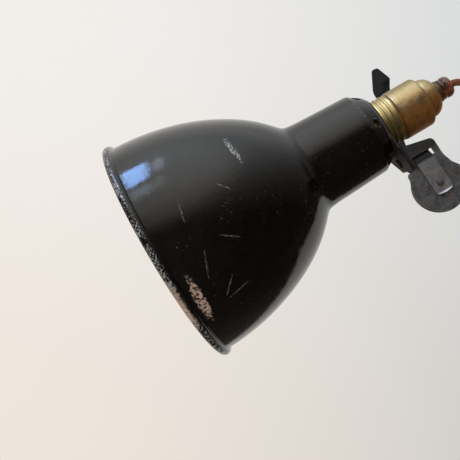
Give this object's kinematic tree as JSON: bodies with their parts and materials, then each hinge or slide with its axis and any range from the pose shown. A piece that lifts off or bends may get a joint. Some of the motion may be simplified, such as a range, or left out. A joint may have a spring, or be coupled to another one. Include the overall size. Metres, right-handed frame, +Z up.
{
  "type": "clip-on reading lamp",
  "caption": "Clip-on reading lamp: bell-shaped spun metal shade on a brass bayonet lampholder, carried by a sprung steel clip with round jaws, with cord and plug.",
  "frame": {"origin": "centre of the grip, midway between the two round jaws", "axes": "+Z up, -Y towards the near jaw's outer face, the lamp's axis in the XZ plane with the shade's mouth down towards -X and the cord grip up towards +X"},
  "size_m": [0.26, 0.1552, 0.2115],
  "materials": {
    "black_enamel": "old gloss enamel, chipped",
    "brass_bright": "worn satin",
    "brass_aged": "brown patina",
    "porcelain": "glazed",
    "plated_steel": "dull plating",
    "core_rubber": "matte",
    "grip_bakelite": "polished red-brown",
    "bulb_glass": "pearl",
    "bulb_metal": "satin",
    "vitrite": "gloss black",
    "clip_steel": "blackened, mottled",
    "spring_steel": "blackened, worn at the tip",
    "cord_fabric": "braided cotton",
    "tie_leather": "worn",
    "plug_bakelite": "polished brown"
  },
  "bodies": {
    "lamp": {"shade": "black_enamel", "shade_ring_upper": "brass_bright", "shade_ring_lower": "brass_bright", "holder_barrel": "brass_bright", "holder_cover": "brass_aged", "holder_dome": "brass_aged", "contact_block": "porcelain", "terminals": "brass_bright", "terminal_screws": "plated_steel", "cord_cores": "core_rubber", "plunger_spring_a": "plated_steel", "plunger_spring_b": "plated_steel", "cord_grip_nut": "grip_bakelite", "grip_sleeve": "core_rubber", "near_jaw": "clip_steel", "hinge_pin": "clip_steel", "pin_washer": "clip_steel", "clip_spring": "spring_steel", "near_rivet": "clip_steel", "cord_lead": "cord_fabric", "cord_coil": "cord_fabric", "cord_tail": "cord_fabric", "coil_tie": "tie_leather", "plug_body": "plug_bakelite", "plug_cover": "plug_bakelite", "plug_screw": "brass_bright", "plug_pins": "brass_bright", "plug_sleeve": "plug_bakelite"},
    "lever": {"far_jaw": "clip_steel", "far_rivet": "clip_steel"},
    "bulb": {"bulb_glass": "bulb_glass", "bulb_cap": "bulb_metal", "bulb_pins": "brass_bright", "bulb_insulator": "vitrite", "bulb_contacts": "bulb_metal", "bulb_stem": "bulb_glass", "bulb_filament": "plated_steel"},
    "plunger_a": {"contact_plunger_a": "brass_bright"},
    "plunger_b": {"contact_plunger_b": "brass_bright"}
  },
  "joints": [
    {"name": "clip_hinge", "type": "hinge", "parent": "lamp", "child": "lever", "pos_m": [-0.01431, 0.0185, 0.0229], "axis": [0.848, 0, 0.5299], "range_deg": [0, 30], "stiffness_Nm_per_rad": 0.45, "springref_deg": -28.65, "deforming": ["clip_spring"]},
    {"name": "bulb_push", "type": "slide", "parent": "lamp", "child": "bulb", "axis": [0.848, 0, 0.5299], "range_m": [0, 0.002], "stiffness_N_per_m": 500, "springref_m": -0.003, "deforming": ["plunger_spring_a", "plunger_spring_b"]},
    {"name": "plunger_a_travel", "type": "slide", "parent": "lamp", "child": "plunger_a", "axis": [0.848, 0, 0.5299], "range_m": [0, 0.002]},
    {"name": "plunger_b_travel", "type": "slide", "parent": "lamp", "child": "plunger_b", "axis": [0.848, 0, 0.5299], "range_m": [0, 0.002]}
  ],
  "couplings": [
    {"joint": "plunger_a_travel", "follows": "bulb_push", "ratio": 1},
    {"joint": "plunger_b_travel", "follows": "bulb_push", "ratio": 1}
  ]
}
